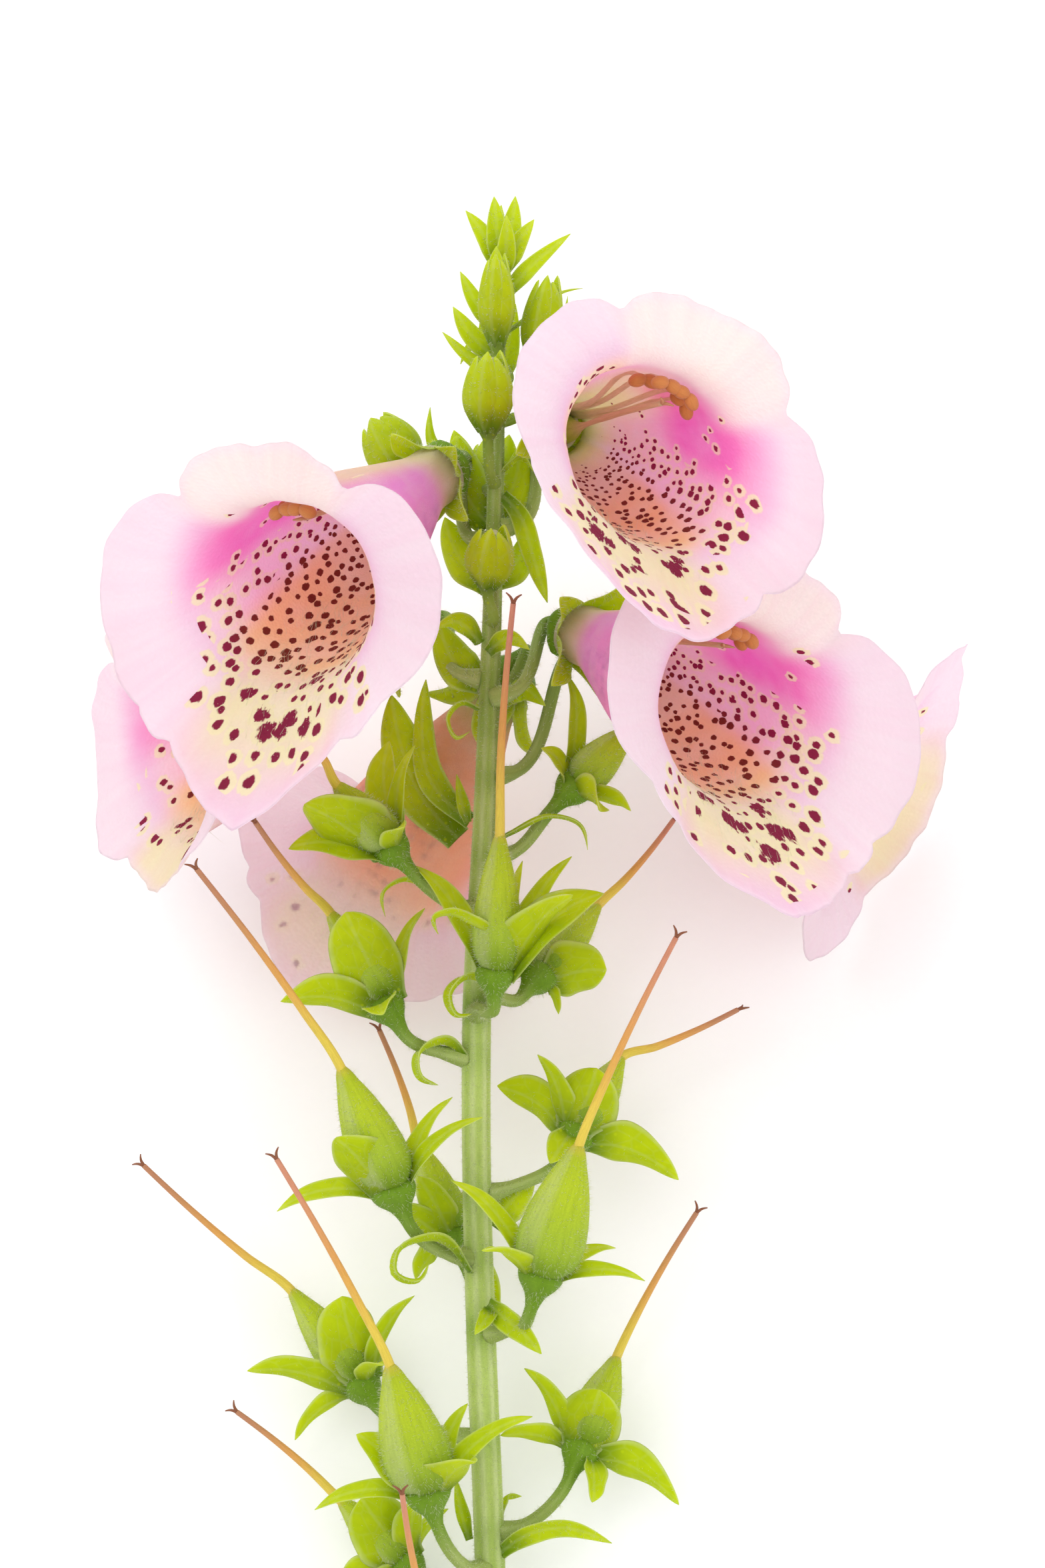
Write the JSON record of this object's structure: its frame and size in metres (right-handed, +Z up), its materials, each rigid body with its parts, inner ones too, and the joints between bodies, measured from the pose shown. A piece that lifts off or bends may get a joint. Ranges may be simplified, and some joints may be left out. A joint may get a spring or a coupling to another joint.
{
  "type": "foxglove flower spike",
  "caption": "Cut foxglove spike lying down: spotted pink bells, ripening seed capsules with long styles, and green buds on one pale stem.",
  "frame": {"origin": "bottom centre of the bounding box, on the surface that the spike lies on", "axes": "+Z up from that surface, +Y from the cut end of the stem towards the tip, +X to the right seen from above"},
  "size_m": [0.1044, 0.1776, 0.0871],
  "materials": {
    "stem": "pale green ribbed stem skin with fine down",
    "sepal": "bright yellow-green leaf skin, translucent, deep green at the foot, downy edge",
    "petal": "thin translucent petal, lilac pink outside, cream with maroon spots inside",
    "stamen": "cream to orange filaments with dull brown anthers",
    "pistil": "yellow-green ovary with a pale style",
    "capsule": "waxy lime capsule skin, style fading through yellow to orange brown",
    "bud": "downy yellow-green bud skin with a pale edge"
  },
  "bodies": {
    "root": {"bud_1": "bud", "bud_2": "bud", "bud_3": "bud", "bud_4": "bud", "bud_5": "bud", "bud_6": "bud", "flower_a_corolla": "petal", "flower_a_pistil": "pistil", "flower_a_stalk": "sepal", "flower_a_stamens": "stamen", "flower_b_corolla": "petal", "flower_b_pistil": "pistil", "flower_b_stalk": "sepal", "flower_b_stamens": "stamen", "flower_c_corolla": "petal", "flower_c_pistil": "pistil", "flower_c_stalk": "sepal", "flower_c_stamens": "stamen", "flower_d_corolla": "petal", "flower_d_pistil": "pistil", "flower_d_stalk": "sepal", "flower_d_stamens": "stamen", "flower_e_corolla": "petal", "flower_e_pistil": "pistil", "flower_e_stalk": "sepal", "flower_e_stamens": "stamen", "flower_f_corolla": "petal", "flower_f_pistil": "pistil", "flower_f_stalk": "sepal", "flower_f_stamens": "stamen", "fruit_01_capsule": "capsule", "fruit_01_stalk": "sepal", "fruit_02_capsule": "capsule", "fruit_02_stalk": "sepal", "fruit_03_capsule": "capsule", "fruit_03_stalk": "sepal", "fruit_04_capsule": "capsule", "fruit_04_stalk": "sepal", "fruit_05_capsule": "capsule", "fruit_05_stalk": "sepal", "fruit_06_capsule": "capsule", "fruit_06_stalk": "sepal", "fruit_07_capsule": "capsule", "fruit_07_stalk": "sepal", "fruit_08_capsule": "capsule", "fruit_08_stalk": "sepal", "fruit_09_capsule": "capsule", "fruit_09_stalk": "sepal", "fruit_10_capsule": "capsule", "fruit_10_stalk": "sepal", "fruit_11_capsule": "capsule", "fruit_11_stalk": "sepal", "fruit_12_capsule": "capsule", "fruit_12_stalk": "sepal", "fruit_13_capsule": "capsule", "fruit_13_stalk": "sepal", "fruit_14_capsule": "capsule", "fruit_14_stalk": "sepal", "spike_tip": "bud", "stem": "stem"}
  },
  "joints": []
}
